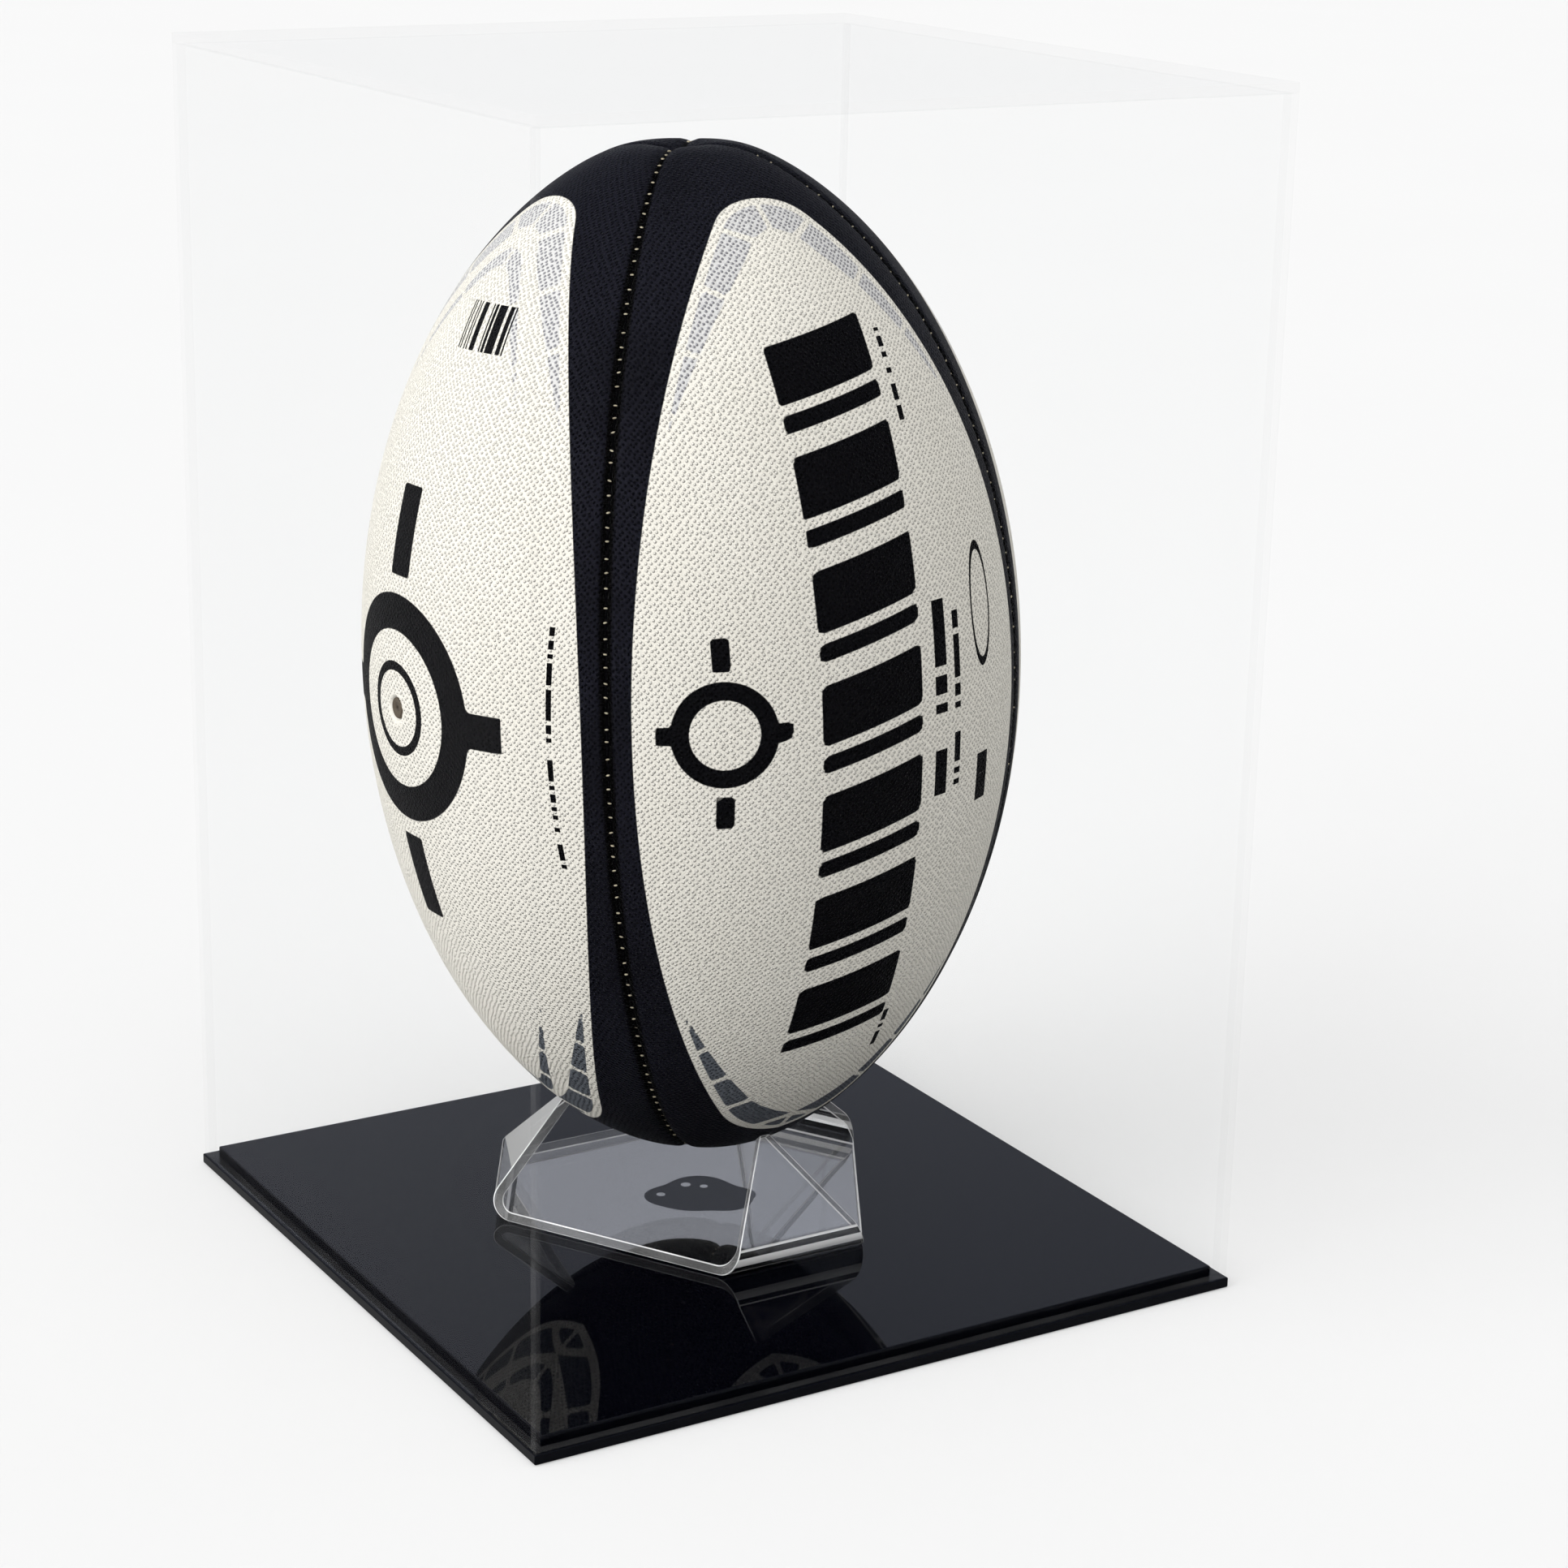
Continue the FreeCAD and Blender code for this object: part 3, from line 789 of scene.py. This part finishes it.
def bent_point(heading, reach, sideways, level):
    """A point of the flat sheet after bending. Reach runs out along the flap, level up from its underside."""
    past = max(reach - FOLD_DISTANCE, 0)
    if past:
        turn = min(past / BEND_MIDDLE, BEND_TURN)
        straight = max(past - BEND_LENGTH, 0)
        x = FOLD_DISTANCE + (BEND_OUTER - level) * math.sin(turn) + straight * math.cos(BEND_TURN)
        z = BEND_OUTER - (BEND_OUTER - level) * math.cos(turn) + straight * math.sin(BEND_TURN)
    else:
        x, z = reach, level
    outwards = Matrix.Rotation(math.radians(heading), 3, "Z")
    return STAND_MIDDLE + outwards @ Vector((x, sideways, z)) * MM


def flap_rows():
    """The rows of points across a flap, as reach and share of the bend: fold, bend and the flap's tip."""
    shares = [step / BEND_ROWS for step in range(BEND_ROWS + 1)]
    bend = [(FOLD_DISTANCE + BEND_LENGTH * share, share) for share in shares]
    return bend + [(FOLD_DISTANCE + BEND_LENGTH + FLAP_LENGTH, 1.0)]


def build_stand(face, edge, underside, corner, bend, flap):
    """One sheet with its three corners bent up and in: a top skin, a bottom skin and the cut edge round them.
    The arguments are its materials, of which those of the bend and the flap are only on the outside."""
    materials = [face, edge, underside, corner, bend, flap]
    points, faces, looks, bend_shares = [], [], [], []
    skins = []
    for level in (0.0, SHEET_THICKNESS):
        flaps = []
        for heading in FLAP_DIRECTIONS:
            rows = []
            for reach, share in flap_rows():
                half = (2 * SHEET_INRADIUS - reach) / math.sqrt(3)
                rows.append((len(points), len(points) + 1))
                points += [bent_point(heading, reach, sideways, level) for sideways in (-half, half)]
                bend_shares += [share, share]
            flaps.append(rows)
        skins.append(flaps)
    for flaps, is_outside in zip(skins, (True, False)):
        faces.append([index for rows in flaps for index in rows[0]])
        looks.append(underside if is_outside else face)
        for rows in flaps:
            for number, (first, second) in enumerate(zip(rows, rows[1:])):
                faces.append((first[0], second[0], second[1], first[1]))
                outside = bend if number < BEND_ROWS else flap
                looks.append(outside if is_outside else face)
    bottom, top = skins
    for low_rows, high_rows in zip(bottom, top):
        rim = [row[0] for row in low_rows] + [row[1] for row in reversed(low_rows)]
        rim_high = [row[0] for row in high_rows] + [row[1] for row in reversed(high_rows)]
        for index in range(len(rim) - 1):
            faces.append((rim[index], rim[index + 1], rim_high[index + 1], rim_high[index]))
            looks.append(edge)
    for index in range(len(FLAP_DIRECTIONS)):
        after = (index + 1) % len(FLAP_DIRECTIONS)
        faces.append((bottom[index][0][1], bottom[after][0][0], top[after][0][0], top[index][0][1]))
        looks.append(edge)
    piece = new_piece("bent_stand", points, faces, "base", ["ball_stand"], materials)
    for polygon, look in zip(piece.data.polygons, looks):
        polygon.material_index = materials.index(look)
    set_floats(piece, bend=bend_shares)
    mend_normals(piece)
    return round_edges(piece, STAND_ROUNDING, material=materials.index(corner))


def glue_field(x, y):
    """Above 1 where there is glue: the squeezed-out patches run together."""
    field, never_zero = 0.0, 1e-9
    for patch_x, patch_y, radius in GLUE_PATCHES:
        square = (x - patch_x) ** 2 + (y - patch_y) ** 2 + never_zero
        field = field + (GLUE_REACH * radius) ** 4 / square ** 2
    return field


def glue_outline(count=96):
    """The glue's middle, and its edge found along rays from there."""
    middle = np.mean([patch[:2] for patch in LARGE_GLUE_PATCHES], axis=0)
    reach = np.linspace(*GLUE_RAY, 1200)
    outline = []
    for turn in np.linspace(0, 2 * math.pi, count, endpoint=False):
        away = np.array([math.cos(turn), math.sin(turn)])
        field = glue_field(middle[0] + away[0] * reach, middle[1] + away[1] * reach)
        outline.append(away * reach[field > 1.0][-1])
    return middle, np.array(outline)


def build_glue(material):
    """The film of glue between the stand and the plate, its edge drawn in as a liquid's is between plates."""
    middle, outline = glue_outline()
    half_thickness = (glue_high.z - glue_low.z) * 0.4
    level = (glue_high.z + glue_low.z) / 2
    inner, outer, waist = 0.5, 0.985, 0.96
    rings = ((inner, 1), (outer, 1), (waist, 0), (outer, -1), (inner, -1))
    points = []
    for scale, side in rings:
        for x, y in middle + outline * scale:
            points.append((STAND_MIDDLE.x + x * MM, STAND_MIDDLE.y + y * MM, level + side * half_thickness))
    faces = tube_faces(len(rings), len(outline))
    piece = new_piece("glue_patch", points, faces, "base", ["stand_adhesive"], [material])
    mend_normals(piece)
    return piece


# ---------------------------------------------------------------- cover
def build_cover_panel(side, face, edge):
    """A cut sheet: polished faces, slightly rounded edges and a hair's gap to the sheets beside it."""
    low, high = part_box(f"cover_{side}_panel")
    gap = Vector((COVER_GAP, COVER_GAP, COVER_GAP)) * MM
    low, high = low + gap, high - gap
    points = [(x, y, z) for x in (low.x, high.x) for y in (low.y, high.y) for z in (low.z, high.z)]
    faces = [(0, 1, 3, 2), (4, 6, 7, 5), (0, 4, 5, 1), (2, 3, 7, 6), (0, 2, 6, 4), (1, 5, 7, 3)]
    piece = new_piece(f"cover_sheet_{side}", points, faces, "cover",
                      [f"cover_{side}_panel"], [face, edge])
    size = high - low
    thin = min(range(3), key=lambda axis: size[axis])
    for polygon in piece.data.polygons:
        polygon.material_index = 0 if abs(polygon.normal[thin]) > 0.5 else 1
    return round_edges(piece, COVER_ROUNDING)


# ---------------------------------------------------------------- studio
def build_floor():
    """A wide round floor, a hair below the base."""
    mesh = bmesh.new()
    bmesh.ops.create_circle(mesh, cap_ends=True, segments=96, radius=FLOOR_RADIUS)
    data = bpy.data.meshes.new("studio_floor")
    mesh.to_mesh(data)
    mesh.free()
    data.materials.append(studio_floor())
    floor = bpy.data.objects.new("studio_floor", data)
    floor.location.z = cad_bounds[0].z - 0.0002
    bpy.context.scene.collection.objects.link(floor)


def build_world():
    """White to the camera, softer as fill; mirrors see a lit backdrop that darkens upwards."""
    nodes = Nodes("studio", kind="worlds")
    view = nodes.add("ShaderNodeTexCoord").outputs["Generated"]
    height = nodes.fill(nodes.add("ShaderNodeSeparateXYZ"), Vector=view).outputs["Z"]
    start, end = MIRRORED_FADE
    fade = nodes.fill(nodes.add("ShaderNodeMapRange"), Value=height, From_Min=start, From_Max=end).outputs[0]
    mirrored = nodes.mix(fade, BACKDROP, MIRRORED_STUDIO)
    rays = nodes.add("ShaderNodeLightPath").outputs
    shader = nodes.fill(nodes.add("ShaderNodeBackground"), Color=FILL_LIGHT).outputs[0]
    for ray, colour in (("Is Glossy Ray", mirrored), ("Is Camera Ray", BACKDROP)):
        seen = nodes.fill(nodes.add("ShaderNodeBackground"), Color=colour).outputs[0]
        shader = nodes.blend(rays[ray], shader, seen)
    bpy.context.scene.world = nodes.finish(shader, "ShaderNodeOutputWorld")


def direction(azimuth, elevation):
    """The way towards something seen at these angles, in radians; azimuth 0 is the front."""
    return Vector((math.sin(azimuth) * math.cos(elevation), -math.cos(azimuth) * math.cos(elevation),
                   math.sin(elevation)))


def soft_light(name, azimuth, elevation, spread, strength):
    """A distant light as wide as a large softbox looks from the ball, which lights the floor evenly."""
    data = bpy.data.lights.new(name, "SUN")
    data.angle = math.radians(spread)
    data.energy = strength
    light = bpy.data.objects.new(name, data)
    back = direction(math.radians(azimuth), math.radians(elevation))
    light.location = BALL_FRAME.translation + back
    light.rotation_euler = back.to_track_quat("Z", "Y").to_euler()
    bpy.context.scene.collection.objects.link(light)


def build_camera():
    """The photograph's view."""
    back = direction(CAMERA_AZIMUTH, CAMERA_ELEVATION)
    level_right = Vector((0, 0, 1)).cross(back).normalized()
    level_up = back.cross(level_right)
    right = math.cos(CAMERA_ROLL) * level_right + math.sin(CAMERA_ROLL) * level_up
    up = math.cos(CAMERA_ROLL) * level_up - math.sin(CAMERA_ROLL) * level_right
    place = (back * CAMERA_DISTANCE + right * CAMERA_SIDEWAYS + up * CAMERA_RISE) * MM
    data = bpy.data.cameras.new("camera")
    data.lens = CAMERA_LENS
    data.sensor_width = 36.0
    camera = bpy.data.objects.new("camera", data)
    axes = Matrix((right, up, back)).transposed().to_4x4()
    camera.matrix_world = Matrix.Translation(place) @ axes
    bpy.context.scene.collection.objects.link(camera)
    bpy.context.scene.camera = camera


# ---------------------------------------------------------------- the whole object
def give_material(node, material):
    """A material for a CAD node that keeps its own mesh."""
    mesh = frame["nodes"][node].data
    mesh.materials.clear()
    mesh.materials.append(material)


def build_ball():
    """The skin with its print, the seams, the valve and the bladder."""
    front_print = [
        lambda nodes, x, y: strip(nodes, x, y, middle=23.5, half_width=2.4, low=-24.0, high=33.0, step=2.6),
        lambda nodes, x, y: strip(nodes, x, y, middle=30.5, half_width=1.3, low=-22.0, high=27.0, step=1.7),
        lambda nodes, x, y: strip(nodes, x, y, middle=21.5, half_width=1.0, low=80.0, high=106.0, step=1.5),
        lambda nodes, x, y: strip(nodes, x, y, middle=17.5, half_width=1.0, low=-108.0, high=-92.0, step=1.5),
        lambda nodes, x, y: strip(nodes, x, y, middle=44.0, half_width=3.0, low=-30.0, high=-6.0, step=4.0),
        lambda nodes, x, y: outline_ring(
            nodes, x, y, middle=44.0, centre=26.0, radius_across=5.0, radius_along=16.0, thickness=0.8),
    ]
    side_print = [
        lambda nodes, x, y: outline_ring(
            nodes, x, y, middle=0.0, centre=0.0, radius_across=12.0, radius_along=12.0, thickness=2.6),
        lambda nodes, x, y: strip(nodes, x, y, middle=58.0, half_width=0.8, low=-36.0, high=34.0, step=1.2),
        lambda nodes, x, y: bars(
            nodes, x, y, middle=8.0, centre=108.0, half_width=10.0, half_length=7.0, step=0.55, lean=0.18),
    ]
    front_skin, side_skin = ball_skin("ball_skin_front", front_print), ball_skin("ball_skin_side", side_print)
    for side in PANEL_MIDDLES:
        ball_panel(side, front_skin if side in ("front", "back") else side_skin)
    seam_materials = [seam_bed(), stitch_thread()]
    for side in SEAMS:
        ball_seam(side, seam_materials)
    ball_valve(rubber("valve_rubber", (0.035, 0.022, 0.010, 1), (0.075, 0.052, 0.026, 1)))
    ball_bladder(rubber("bladder_rubber", (0.02, 0.02, 0.02, 1), (0.05, 0.045, 0.04, 1)))


def build_case():
    """The base, the stand glued to it and the cover."""
    black = black_acrylic()
    for node in ("base_plate_lower", "base_plate_raised"):
        give_material(node, black)
    build_stand(
        face=clear_face("stand_face", head_on=0.04, grazing=0.65),
        # painted glow: the stand's cut edges are painted pale
        edge=clear_edge("stand_edge_glow", cover=0.16, colour=grey(0.62), tint=grey(0.50)),
        underside=stand_underside(),
        # painted highlight: the stand's rounded corners are painted near white
        corner=clear_edge("stand_corner_highlight", cover=0.62, colour=grey(1.0), tint=grey(0.95)),
        bend=stand_bend_painted_reflection(),
        flap=clear_face("stand_flap", head_on=0.06, grazing=2.8))
    build_glue(glue_film())
    cover_face = clear_face("cover_face", head_on=0.0015, grazing=0.12)
    # painted glow: the cover's cut edges are painted pale
    cover_edge_glow = clear_edge("cover_edge_glow", cover=0.015, colour=grey(0.97), tint=grey(0.98))
    for side in ("front", "back", "left", "right", "top"):
        build_cover_panel(side, cover_face, cover_edge_glow)


bpy.context.scene.view_settings.view_transform = "Standard"
bpy.context.scene.cycles.transparent_max_bounces = 32
build_camera()
build_world()
build_floor()
soft_light("key", azimuth=-92.0, elevation=20.0, spread=60.0, strength=3.2)
soft_light("top", azimuth=-10.0, elevation=72.0, spread=60.0, strength=1.0)
build_ball()
build_case()
